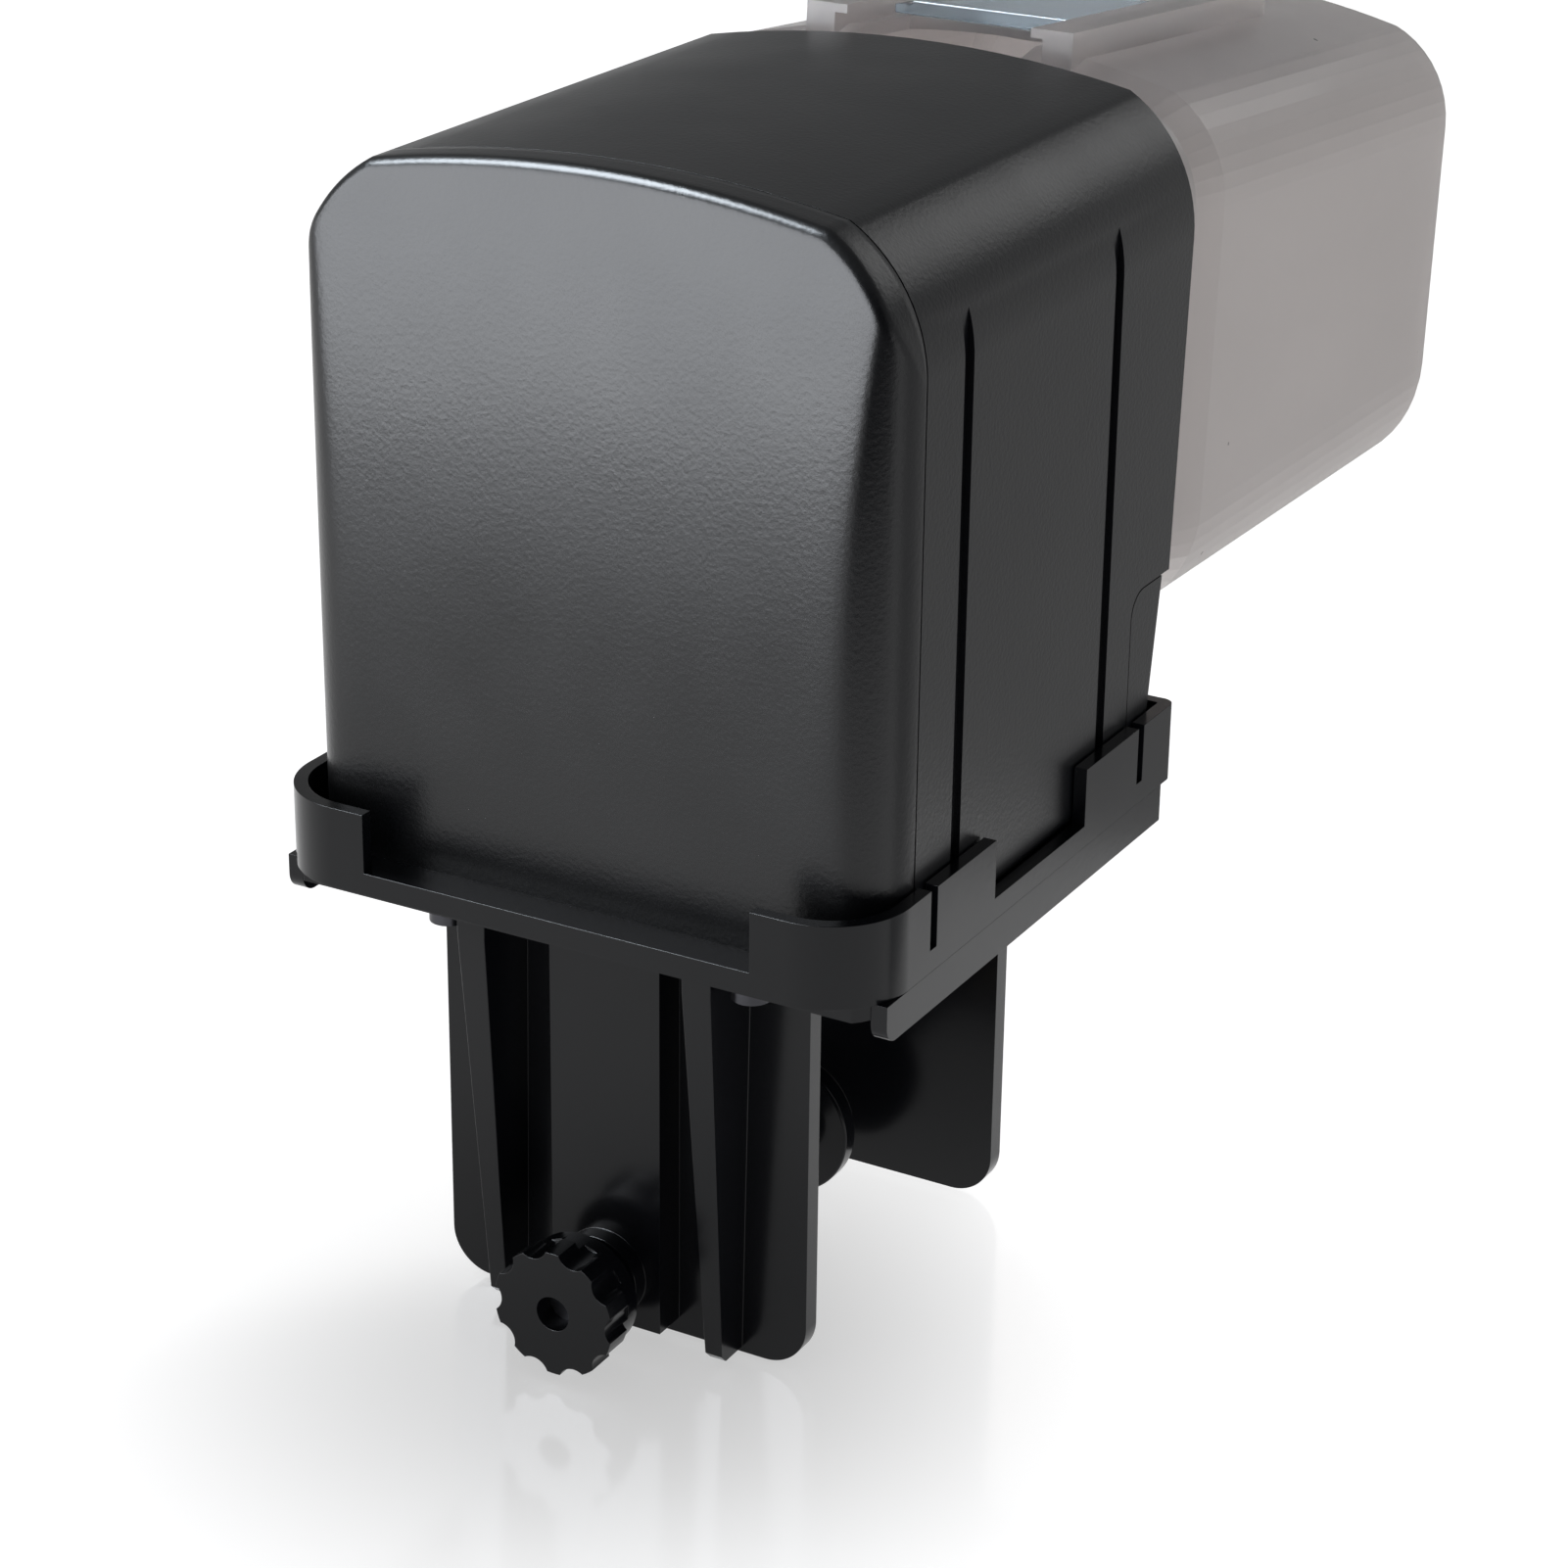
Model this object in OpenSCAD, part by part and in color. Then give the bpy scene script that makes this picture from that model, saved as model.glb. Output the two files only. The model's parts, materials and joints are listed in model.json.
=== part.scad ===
// Automatic fish feeder that clamps to the wall of a tank.
// The feeder body sits in a bracket tray; a clamp under the tray grips the tank wall, and a
// translucent food drum turns on the rear wall of the body.
// Y = 0 is the face of the fixed jaw, Z = 0 is the underside of the two side rails that rest on the
// tank's top edge, and X = 0 is the middle of the body. The drum reaches towards +Y, over the water.

/* [Body] */
// Width of the feeder body
body_w = 69; // [66:1:90]
// Height of the body from its base to the top of the roof
body_h = 76.9; // [72:0.1:96]
// Depth of the body from the front cover to the rear wall, at the drum's axis
body_d = 69.2; // [66:0.1:84]
// Wall of the body's shells
shell_t = 1.8; // [1.4:0.1:2.4]
// Depth of the front cover
cover_d = 8.4; // [7:0.1:12]
// Radius of the upright corners of the front cover
cover_corner_r = 8; // [4:0.5:8]
// Radius of the arched roof
roof_r = 140; // [110:1:260]
// Radius of the round shoulders between roof and sides
shoulder_r = 17; // [12:0.5:19]
// Drop from the top of the roof to the centre of the shoulders
shoulder_drop = 17.2; // [14:0.1:20]
// Width of the two upright grooves in each side
groove_w = 2; // [1.2:0.1:3]
// Depth of the grooves
groove_t = 0.8; // [0.4:0.1:1]
// Height of the base pan's upturned rear wall
pan_rear_h = 22.6; // [18:0.1:28]

/* [Bracket and clamp] */
// Gap between the body and the tray's inner wall
tray_clear = 0.2; // [0.1:0.05:0.4]
// Wall of the tray
tray_t = 1.5; // [1.2:0.1:2.4]
// Thickness of the tray's floor
tray_floor_t = 1.6; // [1.2:0.1:2.4]
// Height of the corner posts above the rails' top
post_h = 9.1; // [7:0.1:14]
// Height of the low lip and side rims above the rails' top
lip_h = 2.5; // [2.2:0.1:4]
// Height of the side rails
rail_h = 4.3; // [3:0.1:6]
// Gap between the two clamp plates
clamp_gap = 41.5; // [36:0.5:48]
// Width of the clamp plates
plate_w = 45; // [40:1:52]
// Thickness of the clamp plates
plate_t = 2.4; // [2:0.1:3]
// Reach of the clamp plates below the rails
plate_drop = 46.5; // [45:0.5:60]
// Depth of the ribs at the top of the front plate
rib_top_d = 8.3; // [7:0.1:9.5]
// Depth of the ribs at the bottom of the front plate
rib_low_d = 4.4; // [3:0.1:7]
// Distance of the clamp screw's axis below the rails
screw_drop = 38.7; // [34:0.1:42]
// Diameter of the clamp screw
screw_d = 5; // [4:0.5:6]
// Diameter of the knob over its lobes
knob_d = 14.6; // [12:0.1:18]
// Diameter of the pressure foot
foot_d = 17; // [14:0.5:20]
// Opening of the jaws at rest
jaw_open = 6; // [5:0.5:8]

/* [Drum] */
// Downward tilt of the drum's axis and of the rear wall
drum_tilt = 3.2; // [0:0.1:5]
// Height of the drum's axis above the body's base, at the rear wall
axis_h = 44.9; // [42:0.1:54]
// Width of the drum at its near end
drum_w = 68.4; // [60:0.1:80]
// Height of the drum at its near end
drum_h = 64; // [56:0.1:68]
// Length of the drum shell
drum_len = 79.3; // [70:0.1:95]
// Loss of width from the near end of the drum to the far end
drum_draft_w = 1; // [0:0.1:6]
// Loss of height from the near end of the drum to the far end
drum_draft_h = 4.2; // [0:0.1:6]
// Wall of the drum
drum_t = 1.6; // [1.2:0.1:2.2]
// Width of the food outlet and of the clear shutter over it
outlet_w = 23.4; // [16:0.1:25]
// Length of the food outlet along the drum
outlet_len = 14.6; // [10:0.1:18]

/* [Drive] */
// Module of the gears
gear_m = 0.5; // [0.5:0.1:0.5]
// Teeth on each pinion
pinion_n = 12; // [12:1:12]
// Teeth on the first and second wheels
wheel_n = 40; // [36:4:40]
// Teeth on the drum's gear
output_n = 48; // [44:4:48]
// Diameter of the output shaft
shaft_d = 5; // [4:0.5:6]
// Radial running clearance of shafts, arbors and pins
run = 0.05; // [0.02:0.01:0.09]

/* [Batteries and controls] */
// Diameter of one AA cell
cell_d = 14.4; // [14.2:0.1:14.6]
// Length of one AA cell
cell_len = 50.2; // [49.5:0.1:50.5]
// Diameter of the push buttons
button_d = 6.6; // [5:0.1:8]
// Travel of the push buttons
button_travel = 1; // [0.6:0.1:1.2]
// Width of the display window along the body
window_w = 24; // [18:1:26]
// Height of the display window
window_h = 15; // [12:1:18]

/* [Hidden] */
$fn = 64;
eps = 0.01;
blade = 0.05;
half_w = body_w / 2;

// Body levels and depths
base_z = rail_h + tray_floor_t;
roof_z = base_z + body_h;
rear_y = 16.2;
axis_z = base_z + axis_h;
front_y = rear_y - body_d;
seam_y = front_y + cover_d;
face_bow_r = 300;
foot_r = 2;
rear_wall_t = 2;
groove_y = [front_y + 17.1, rear_y - 17.9];
groove_top = roof_z - shoulder_drop + 7;
fit_gap = 0.15;

// Base pan and its wrap-around rear wall
pan_t = 1.8;
pan_top_z = base_z + pan_rear_h;
pan_lean = 9.5;
pan_rear_y = rear_y - 3.1;
pan_side_y = pan_rear_y - 7.7;
pan_post_r = 3;
pan_post_y = [seam_y + 5.6, rear_y - 16.2];
pan_post_h = 14;
pan_screw_r = 1.1;
pan_head_r = 2.2;

// Tray and clamp frame
tray_in = half_w + tray_clear;
tray_out = tray_in + tray_t;
tray_y0 = front_y - 4.8;
tray_y1 = rear_y - 1.3;
tray_r = 9;
tray_rear_r = 1.4;
post_x = 23.1;
slit_w = 1.4;
tab_y = [[tray_y0 + 15, tray_y0 + 28.1], [tray_y1 - 23.1, tray_y1 - 9.8]];
frame_t = 1.8;
frame_y = [tray_y0 + 3, tray_y1 - 3];
rail_y = [tray_y0 + 4.6, tray_y1 - 3];
rail_end_r = 2;
frame_z = rail_h - frame_t;
well_x = 28;
well_y0 = -clamp_gap + 1.2;
well_y1 = -1.8;
rail_t = 1.8;

// Clamp plates, ribs and screw
plate_y = -clamp_gap - plate_t;
plate_r = 5;
rib_x = 13.7;
rib_top_w = 3.5;
rib_low_w = 2;
rib_end = 0.6;
strip_w = 13.6;
strip_t = 4;
strip_low = 6;
boss_t = 2;
boss_d = 10;
web_t = 2;
flange_d = 7.4;
flange_t = 1.8;
strip_face_y = plate_y - strip_t;
boss_face_y = strip_face_y - boss_t;
knob_len = 6.2;
knob_head_t = 3.4;
knob_hub_d = 13.4;
knob_lobes = 10;
foot_t = 2.4;
cushion_t = 1;
cushion_y = -jaw_open;
foot_y = cushion_y - cushion_t;
screw_bare = 2.5;
knob_y = boss_face_y - screw_bare;
plate_bore_r = screw_d / 2 + 0.4;
flange_screw_x = [-plate_w / 2 + 4, plate_w / 2 - 4];
flange_screw_y = [plate_y - 5.2, plate_t + 5.2];
nut_af = 8;
nut_t = 4;

// Batteries in the base pan
cell_gap = 0.2;
cell_y = [-12.9, -12.9 - cell_d - cell_gap];
cell_z = base_z + pan_t + 0.4 + cell_d / 2;
holder_t = 1.2;
holder_x = cell_len / 2 + 2.4;
holder_y0 = cell_y[1] - cell_d / 2 - 0.3;
holder_y1 = cell_y[0] + cell_d / 2 + 0.3;
holder_h = cell_d + 1.6;
door_y1 = -4;
door_y0 = holder_y0;
door_x = holder_x - 1;
door_pin_r = 0.6;
door_z = base_z + pan_t / 2;
spring_wire = 0.5;

// Left side controls
side_x = -half_w;
panel_t = 1.2;
panel_y = [groove_y[0] + 2.4, groove_y[1] - 2.4];
panel_z = [base_z + 28, base_z + 66];
panel_mid_y = (panel_y[0] + panel_y[1]) / 2;
window_z = panel_z[1] - 4 - window_h / 2;
button_z = panel_z[0] + 8;
button_pitch = button_d + 1.8;
button_y = [panel_mid_y - button_pitch, panel_mid_y, panel_mid_y + button_pitch];
button_proud = 1.2;
button_stem = 2.2;
board_x = side_x + 8.6;
board_t = 1.6;
switch_t = 3;
switch_w = 5;
board_y = [panel_y[0] - 2, panel_y[1] - 4.2];
board_z = [panel_z[0] - 6, panel_z[1] + 2];
board_post_r = 1.8;
board_post_y = [board_y[0] + 2.4, board_y[1] - 2.4];
board_post_z = [board_z[0] + 2.4, board_z[1] - 2.4];

// Drum section and stations along its axis
collar_v = 0.8;
collar_t = 2;
drum_v = 3.1;
drum_full_v = 8.5;
drum_end_v = drum_v + drum_len;
drum_round = 4;
drum_foot_r = 14.5;
drum_drop = 15.2;
drum_sh_r = 13.2;
drum_roof_r = 105;
edge_in = 1.3;
lid_t = 1.6;
outlet_v = 4.2;
outlet_x = outlet_w / 2 - 1.2;
shutter_w = outlet_w + 2;
shutter_v = outlet_v + outlet_len + 0.2;
shutter_len = 26;
shutter_t = 1.2;
shutter_lift = 0.05;
rim_w = 1.4;
rim_h = 0.5;
rail_x = shutter_w / 2 + 0.2;
guide_w = 3.6;
guide_lap = 1.5;
guide_sink = 2.6;
guide_top = shutter_t + 0.6;
deck_v = 5;
deck_len = 54;
deck_sink = 0.6;
deck_stop = 1.6;
deck_draft = atan(drum_draft_h / 2 / (drum_end_v - drum_full_v));

// Gear train, in the frame of the tilted rear wall
layer_t = 3;
layer_v = [-8.2, -11.6, -15];
plate_a_v = -4.6;
plate_b_v = -18.2;
gear_plate_t = 1.4;
arbor_r = 1;
motor_shaft_r = 0.75;
centre_out = (output_n + pinion_n) * gear_m / 2;
centre_mid = (wheel_n + pinion_n) * gear_m / 2;
angle_2 = 200;
angle_1 = 80;
angle_m = 60;
gear2_c = centre_out * [cos(angle_2), sin(angle_2)];
gear1_c = gear2_c + centre_mid * [cos(angle_1), sin(angle_1)];
motor_c = gear1_c + centre_mid * [cos(angle_m), sin(angle_m)];
plate_half = [21, 22];
plate_mid = [-6, 3];
sleeve_r = 1.45;
pillar_r = 2.4;
pillar_at = [for (sx = [-1, 1], sw = [-1, 1])
    [plate_mid[0] + sx * (plate_half[0] - 3), plate_mid[1] + sw * (plate_half[1] - 3)]];
shaft_back_v = -26;
cam_v = -23.4;
cam_t = 2.4;
cam_r = 5;
bush_r = 4;
hub_v = 1.8;
hub_len = 7;
hub_r = 7.5;
socket_t = 1.6;

// Prism along Y between two depths, drawn in X-Z
module along_y(y0, y1) {
    translate([0, y1, 0]) rotate([90, 0, 0]) linear_extrude(y1 - y0) children();
}

// Prism along X between two places, drawn in Y-Z
module along_x(x0, x1) {
    translate([x0, 0, 0]) rotate([90, 0, 90]) linear_extrude(x1 - x0) children();
}

module rod_y(y0, y1, r) {
    translate([0, y1, 0]) rotate([90, 0, 0]) cylinder(h = y1 - y0, r = r);
}

module rod_x(x0, x1, r) {
    translate([x0, 0, 0]) rotate([0, 90, 0]) cylinder(h = x1 - x0, r = r);
}

// The frame of the rear wall and drum: Y runs out along the drum's axis
module tilted() {
    translate([0, rear_y, axis_z]) rotate([-drum_tilt, 0, 0]) children();
}

// Round-cornered rectangle made of plain shapes, so that its arcs stay true
module soft_rect(x0, y0, x1, y1, r) {
    translate([x0 + r, y0]) square([x1 - x0 - 2 * r, y1 - y0]);
    translate([x0, y0 + r]) square([x1 - x0, y1 - y0 - 2 * r]);
    for (x = [x0 + r, x1 - r], y = [y0 + r, y1 - r]) translate([x, y]) circle(r);
}

// Arched section shared by body and drum: half width, bottom, top, roof radius, shoulder radius and
// drop, lower corner radius, and an inset that shrinks it evenly
module arched(hw, low, top, roof, sh_r, sh_drop, low_r, inset = 0) {
    sh_z = top - sh_drop;
    r_low = max(low_r - inset, 0.3);
    intersection() {
        translate([0, top - roof]) circle(roof - inset, $fn = 256);
        union() {
            for (s = [-1, 1]) translate([s * (hw - sh_r), sh_z]) circle(sh_r - inset);
            translate([-(hw - sh_r), low + inset]) square([2 * (hw - sh_r), top - low - inset]);
            soft_rect(-hw + inset, low + inset, hw - inset, sh_z, r_low);
            translate([-hw + inset, sh_z - low_r - 1]) square([2 * (hw - inset), low_r + 1]);
        }
    }
}

module body_section(inset = 0) {
    arched(half_w, base_z, roof_z, roof_r, shoulder_r, shoulder_drop, foot_r, inset);
}

// Section of the drum about its own axis, shrunk by an amount on every side and narrowed by a share
// of the draft
module drum_section(shrink, share = 0) {
    w = (drum_w - drum_draft_w * share) / 2;
    h = (drum_h - drum_draft_h * share) / 2;
    arched(w, -h, h, drum_roof_r, drum_sh_r, drum_drop, drum_foot_r, shrink);
}

// ---------- Bracket ----------

module tray_plan(inset = 0) {
    x = tray_out - inset;
    soft_rect(-x, tray_y0 + inset, x, tray_r + tray_rear_r, tray_r - inset);
    soft_rect(-x, 0, x, tray_y1 - inset, max(tray_rear_r - inset, 0.3));
}

module well_plan() {
    translate([-well_x, well_y0]) square([2 * well_x, well_y1 - well_y0]);
}

module bracket_tray() {
    color([0.07, 0.07, 0.08]) difference() {
        translate([0, 0, rail_h]) linear_extrude(post_h) tray_plan();
        translate([0, 0, base_z]) linear_extrude(post_h) tray_plan(tray_t);
        translate([0, 0, rail_h - 1]) linear_extrude(post_h) well_plan();
        // low lips front and rear, between the posts
        translate([-post_x, tray_y0 - 1, rail_h + lip_h]) cube([2 * post_x, tray_y1 - tray_y0 + 2, post_h]);
        for (s = [-1, 1]) {
            // low side rim between the two tabs
            translate([s * tray_out - 5, tab_y[0][1], rail_h + lip_h])
                cube([10, tab_y[1][0] - tab_y[0][1], post_h]);
            // thin slits that free the tabs from the posts
            for (y = [tab_y[0][0] - slit_w, tab_y[1][1]])
                translate([s * tray_out - 5, y, rail_h + lip_h]) cube([10, slit_w, post_h]);
        }
        for (x = flange_screw_x, y = flange_screw_y)
            translate([x, y, rail_h - 1]) cylinder(h = 4, r = 0.9);
    }
}

// Side rail with a round front end
module rail(s) {
    x = s * (tray_out - rail_t / 2);
    r = rail_end_r;
    along_x(x - rail_t / 2, x + rail_t / 2) {
        translate([rail_y[0] + r, 0]) square([rail_y[1] - rail_y[0] - r, rail_h]);
        translate([rail_y[0], r]) square([2 * r, rail_h - r]);
        translate([rail_y[0] + r, r]) circle(r);
    }
}

module clamp_frame() {
    color([0.06, 0.06, 0.07]) difference() {
        union() {
            intersection() {
                translate([0, 0, frame_z]) linear_extrude(frame_t) tray_plan(0.6);
                translate([-tray_out, frame_y[0], 0]) cube([2 * tray_out, frame_y[1] - frame_y[0], rail_h]);
            }
            rail(-1);
            rail(1);
        }
        linear_extrude(rail_h + 1) well_plan();
        for (x = flange_screw_x, y = flange_screw_y)
            translate([x, y, frame_z - 1]) cylinder(h = 4, r = 1.25);
    }
}

module plate_outline() {
    translate([-plate_w / 2, -plate_drop + plate_r]) square([plate_w, plate_drop - plate_r + frame_z]);
    translate([-plate_w / 2 + plate_r, -plate_drop]) square([plate_w - 2 * plate_r, plate_drop]);
    for (s = [-1, 1]) translate([s * (plate_w / 2 - plate_r), -plate_drop + plate_r]) circle(plate_r);
}

// Rib whose depth and width shrink towards its lower end
module rib(x) {
    y0 = plate_y - rib_top_d;
    low = -plate_drop + rib_end;
    intersection() {
        along_x(x - rib_top_w, x + rib_top_w) polygon([
            [plate_y + eps, frame_z],
            [y0, frame_z],
            [y0, frame_z - 3],
            [plate_y - rib_low_d, low + 1],
            [plate_y - rib_low_d + 1, low],
            [plate_y + eps, low]]);
        along_y(y0 - 1, plate_y + 1) translate([x, 0]) polygon([
            [-rib_top_w / 2, frame_z + 1],
            [rib_top_w / 2, frame_z + 1],
            [rib_low_w / 2, low - 1],
            [-rib_low_w / 2, low - 1]]);
    }
}

module front_clamp_plate() {
    color([0.06, 0.06, 0.07]) difference() {
        union() {
            along_y(plate_y, -clamp_gap) plate_outline();
            for (s = [-1, 1]) rib(s * rib_x);
            // raised centre strip with the boss that the screw runs through
            translate([-strip_w / 2, strip_face_y, -screw_drop - strip_low])
                cube([strip_w, strip_t + eps, screw_drop + strip_low + frame_z]);
            translate([0, 0, -screw_drop]) rod_y(boss_face_y, plate_y, boss_d / 2);
            translate([-plate_w / 2, plate_y - flange_d, frame_z - flange_t])
                cube([plate_w, flange_d + eps, flange_t]);
        }
        translate([0, 0, -screw_drop]) rod_y(boss_face_y - 1, -clamp_gap + 1, plate_bore_r);
        translate([0, 0, -screw_drop]) along_y(plate_y - nut_t + plate_t - 1, -clamp_gap + 1)
            circle(r = nut_af / 2 / cos(30) + 0.1, $fn = 6);
        for (x = flange_screw_x)
            translate([x, flange_screw_y[0], frame_z - 4]) cylinder(h = 5, r = 1.25);
    }
}

module rear_clamp_plate() {
    color([0.06, 0.06, 0.07]) difference() {
        union() {
            along_y(0, plate_t) plate_outline();
            translate([-plate_w / 2, plate_t - eps, frame_z - flange_t]) cube([plate_w, flange_d, flange_t]);
            // webs under the flange
            for (s = [-1, 1]) along_x(s * rib_x - web_t / 2, s * rib_x + web_t / 2) polygon([
                [plate_t - eps, frame_z - 1],
                [plate_t + flange_d - 2, frame_z - 1],
                [plate_t - eps, -plate_drop + 12]]);
        }
        for (x = flange_screw_x)
            translate([x, flange_screw_y[1], frame_z - 4]) cylinder(h = 5, r = 1.25);
    }
}

module captive_nut() {
    y1 = -clamp_gap - 0.2;
    color([0.72, 0.58, 0.3]) translate([0, 0, -screw_drop]) difference() {
        along_y(y1 - nut_t, y1) circle(r = nut_af / 2 / cos(30), $fn = 6);
        rod_y(y1 - nut_t - 1, y1 + 1, screw_d / 2 + run);
    }
}

module bracket_screws() {
    color([0.6, 0.6, 0.62])
        for (x = flange_screw_x, y = flange_screw_y) translate([x, y, 0]) {
            translate([0, 0, frame_z - flange_t]) cylinder(h = flange_t + frame_t + 1.2, r = 0.85);
            translate([0, 0, frame_z - flange_t - 1.4]) cylinder(h = 1.4, r = 2.1);
        }
}

// ---------- Clamp screw ----------

module clamp_screw() {
    color([0.12, 0.12, 0.13]) translate([0, 0, -screw_drop])
        rod_y(knob_y - knob_len + 2.6, foot_y - foot_t + 1.4, screw_d / 2);
}

module clamp_knob() {
    y0 = knob_y - knob_len;
    notch_r = knob_d * 0.13;
    color([0.05, 0.05, 0.05]) translate([0, 0, -screw_drop]) difference() {
        union() {
            rod_y(y0, y0 + knob_head_t, knob_d / 2);
            rod_y(y0 + knob_head_t - eps, knob_y, knob_hub_d / 2);
        }
        for (i = [0 : knob_lobes - 1]) rotate([0, 360 / knob_lobes * i, 0])
            translate([knob_d / 2 + notch_r * 0.55, 0, 0]) rod_y(y0 - 1, y0 + knob_head_t + 1, notch_r);
        rod_y(y0 - 1, y0 + 3, 2);
        rod_y(y0 + 2.6, knob_y + 1, screw_d / 2 + 0.02);
    }
}

module pressure_foot() {
    color([0.06, 0.06, 0.07]) translate([0, 0, -screw_drop]) difference() {
        union() {
            rod_y(foot_y - foot_t, foot_y, foot_d / 2);
            rod_y(foot_y - foot_t - 2.6, foot_y, 4.6);
        }
        rod_y(foot_y - foot_t - 4, foot_y - foot_t + 1.5, screw_d / 2 + run);
    }
}

module foot_cushion() {
    color([0.15, 0.15, 0.16]) translate([0, 0, -screw_drop]) rod_y(foot_y, cushion_y, foot_d / 2 - 0.8);
}

// ---------- Body shells ----------

module plan_of_cover(inset) {
    r = cover_corner_r;
    x = half_w - inset;
    translate([-x + r - inset, front_y + inset]) square([2 * (x - r + inset), cover_d + 4]);
    translate([-x, front_y + r]) square([2 * x, cover_d + 4]);
    for (s = [-1, 1]) translate([s * (half_w - r), front_y + r]) circle(r - inset);
}

// Outer form of the front cover, with upright round corners and a face bowed in its height
module cover_form(inset) {
    bow_z = base_z + body_h * 0.36;
    intersection() {
        along_y(front_y - 1, seam_y) body_section(inset);
        translate([0, 0, base_z]) linear_extrude(body_h) plan_of_cover(inset);
        translate([-half_w, front_y + face_bow_r, bow_z]) rod_x(0, body_w, face_bow_r - inset, $fn = 256);
    }
}

module end_cover() {
    color([0.1, 0.1, 0.11]) difference() {
        cover_form(0);
        difference() {
            cover_form(shell_t);
            translate([-half_w, seam_y - eps, 0]) cube([body_w, 1, roof_z]);
        }
        along_y(seam_y - 1, seam_y + 1) body_section(shell_t);
        along_y(seam_y - 1.2, seam_y + 1) body_section(shell_t / 2);
    }
}

module cover_seal() {
    color([0.2, 0.2, 0.2]) along_y(seam_y - 1.2, seam_y) difference() {
        body_section(shell_t / 2 + 0.02);
        body_section(shell_t + 1.2);
    }
}

// Space inside the body's shell, up to the rear wall
module body_hollow(wall) {
    intersection() {
        along_y(seam_y - 1, rear_y + 10) body_section(wall);
        tilted() translate([-60, -120, -90]) cube([120, 120 - rear_wall_t, 180]);
    }
}

// Side outline of the pan's upturned rear; the housing is cut back from it by a larger one
module pan_profile(inset, reach = 0) {
    rise = pan_rear_h;
    lean = tan(pan_lean) * rise;
    difference() {
        polygon([
            [pan_side_y + inset, base_z - 1],
            [pan_rear_y + reach - lean - inset, base_z - 1],
            [pan_rear_y + reach - inset, pan_top_z - inset],
            [pan_side_y + inset, pan_top_z - inset]]);
        translate([pan_side_y + inset, pan_top_z - inset - 3]) difference() {
            translate([-1, 0]) square([4, 4]);
            translate([3, 0]) circle(3);
        }
    }
}

module main_housing() {
    boss_len = -plate_a_v - gear_plate_t - rear_wall_t;
    color([0.08, 0.08, 0.09]) difference() {
        union() {
            difference() {
                intersection() {
                    along_y(seam_y, rear_y + 10) body_section();
                    tilted() translate([-60, -120, -90]) cube([120, 120, 180]);
                }
                body_hollow(shell_t);
                // open underside, closed by the base pan
                translate([-half_w + shell_t, seam_y - 1, base_z - 1])
                    cube([body_w - 2 * shell_t, pan_side_y - seam_y + 2, shell_t + 3]);
                along_x(-half_w - 1, half_w + 1) pan_profile(-fit_gap, 10);
                // upright grooves
                for (y = groove_y, s = [-1, 1])
                    translate([s * half_w - groove_t, y - groove_w / 2, base_z + 1])
                        cube([2 * groove_t, groove_w, groove_top - base_z]);
            }
            // screw posts for the base pan, against the side walls
            for (x = [-1, 1], y = pan_post_y)
                translate([x * (half_w - shell_t - pan_post_r + 0.4), y, base_z + pan_t])
                    cylinder(h = pan_post_h, r = pan_post_r);
            // posts that carry the circuit board, from the left wall
            intersection() {
                for (y = board_post_y, z = board_post_z)
                    translate([0, y, z]) rod_x(side_x, board_x, board_post_r);
                along_y(board_y[0], board_y[1]) body_section(0.5);
            }
            // bosses that carry the gearbox
            tilted() for (c = pillar_at) translate([c[0], 0, c[1]])
                rod_y(-rear_wall_t - boss_len, -rear_wall_t + 0.5, pillar_r);
        }
        for (x = [-1, 1], y = pan_post_y)
            translate([x * (half_w - shell_t - pan_post_r + 0.4), y, base_z + pan_t - 1])
                cylinder(h = 10, r = pan_screw_r - 0.1);
        tilted() rod_y(-rear_wall_t - 1, 1, bush_r + 0.02);
        tilted() for (c = pillar_at) translate([c[0], 0, c[1]])
            rod_y(-rear_wall_t - boss_len - 1, -rear_wall_t + 1, 1);
        // control panel recess, display opening and button holes in the left side
        translate([side_x - 1, panel_y[0], panel_z[0]])
            cube([1 + panel_t, panel_y[1] - panel_y[0], panel_z[1] - panel_z[0]]);
        translate([side_x - 1, panel_mid_y - window_w / 2, window_z - window_h / 2])
            cube([shell_t + 3, window_w, window_h]);
        for (y = button_y) translate([0, y, button_z])
            rod_x(side_x - 1, side_x + shell_t + 2, button_d / 2 + 0.6);
    }
}

module base_pan() {
    floor_x = half_w - shell_t - fit_gap;
    color([0.08, 0.08, 0.09]) difference() {
        union() {
            translate([-floor_x, seam_y + fit_gap, base_z])
                cube([2 * floor_x, pan_side_y - seam_y + 2, pan_t]);
            difference() {
                intersection() {
                    along_x(-half_w, half_w) pan_profile(0);
                    along_y(seam_y, rear_y + 10) body_section();
                }
                intersection() {
                    along_x(-half_w + shell_t, half_w - shell_t) pan_profile(0);
                    translate([-half_w, pan_side_y - 1, base_z + pan_t])
                        cube([body_w, pan_rear_y - pan_side_y - 2.2, pan_rear_h - pan_t - 0.1]);
                }
            }
        }
        translate([-door_x - 0.2, door_y0 - 0.2, base_z - 1])
            cube([2 * door_x + 0.4, door_y1 - door_y0 + 1.3, pan_t + 4]);
        translate([0, door_y1, door_z]) rod_x(-door_x - 1.9, door_x + 1.9, door_pin_r + run);
        for (x = [-1, 1], y = pan_post_y)
            translate([x * (half_w - shell_t - pan_post_r + 0.4), y, base_z]) {
                translate([0, 0, -1]) cylinder(h = pan_t + 2, r = pan_screw_r + 0.1);
                translate([0, 0, -1]) cylinder(h = 2, r = pan_head_r + 0.2);
            }
    }
}

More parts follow.
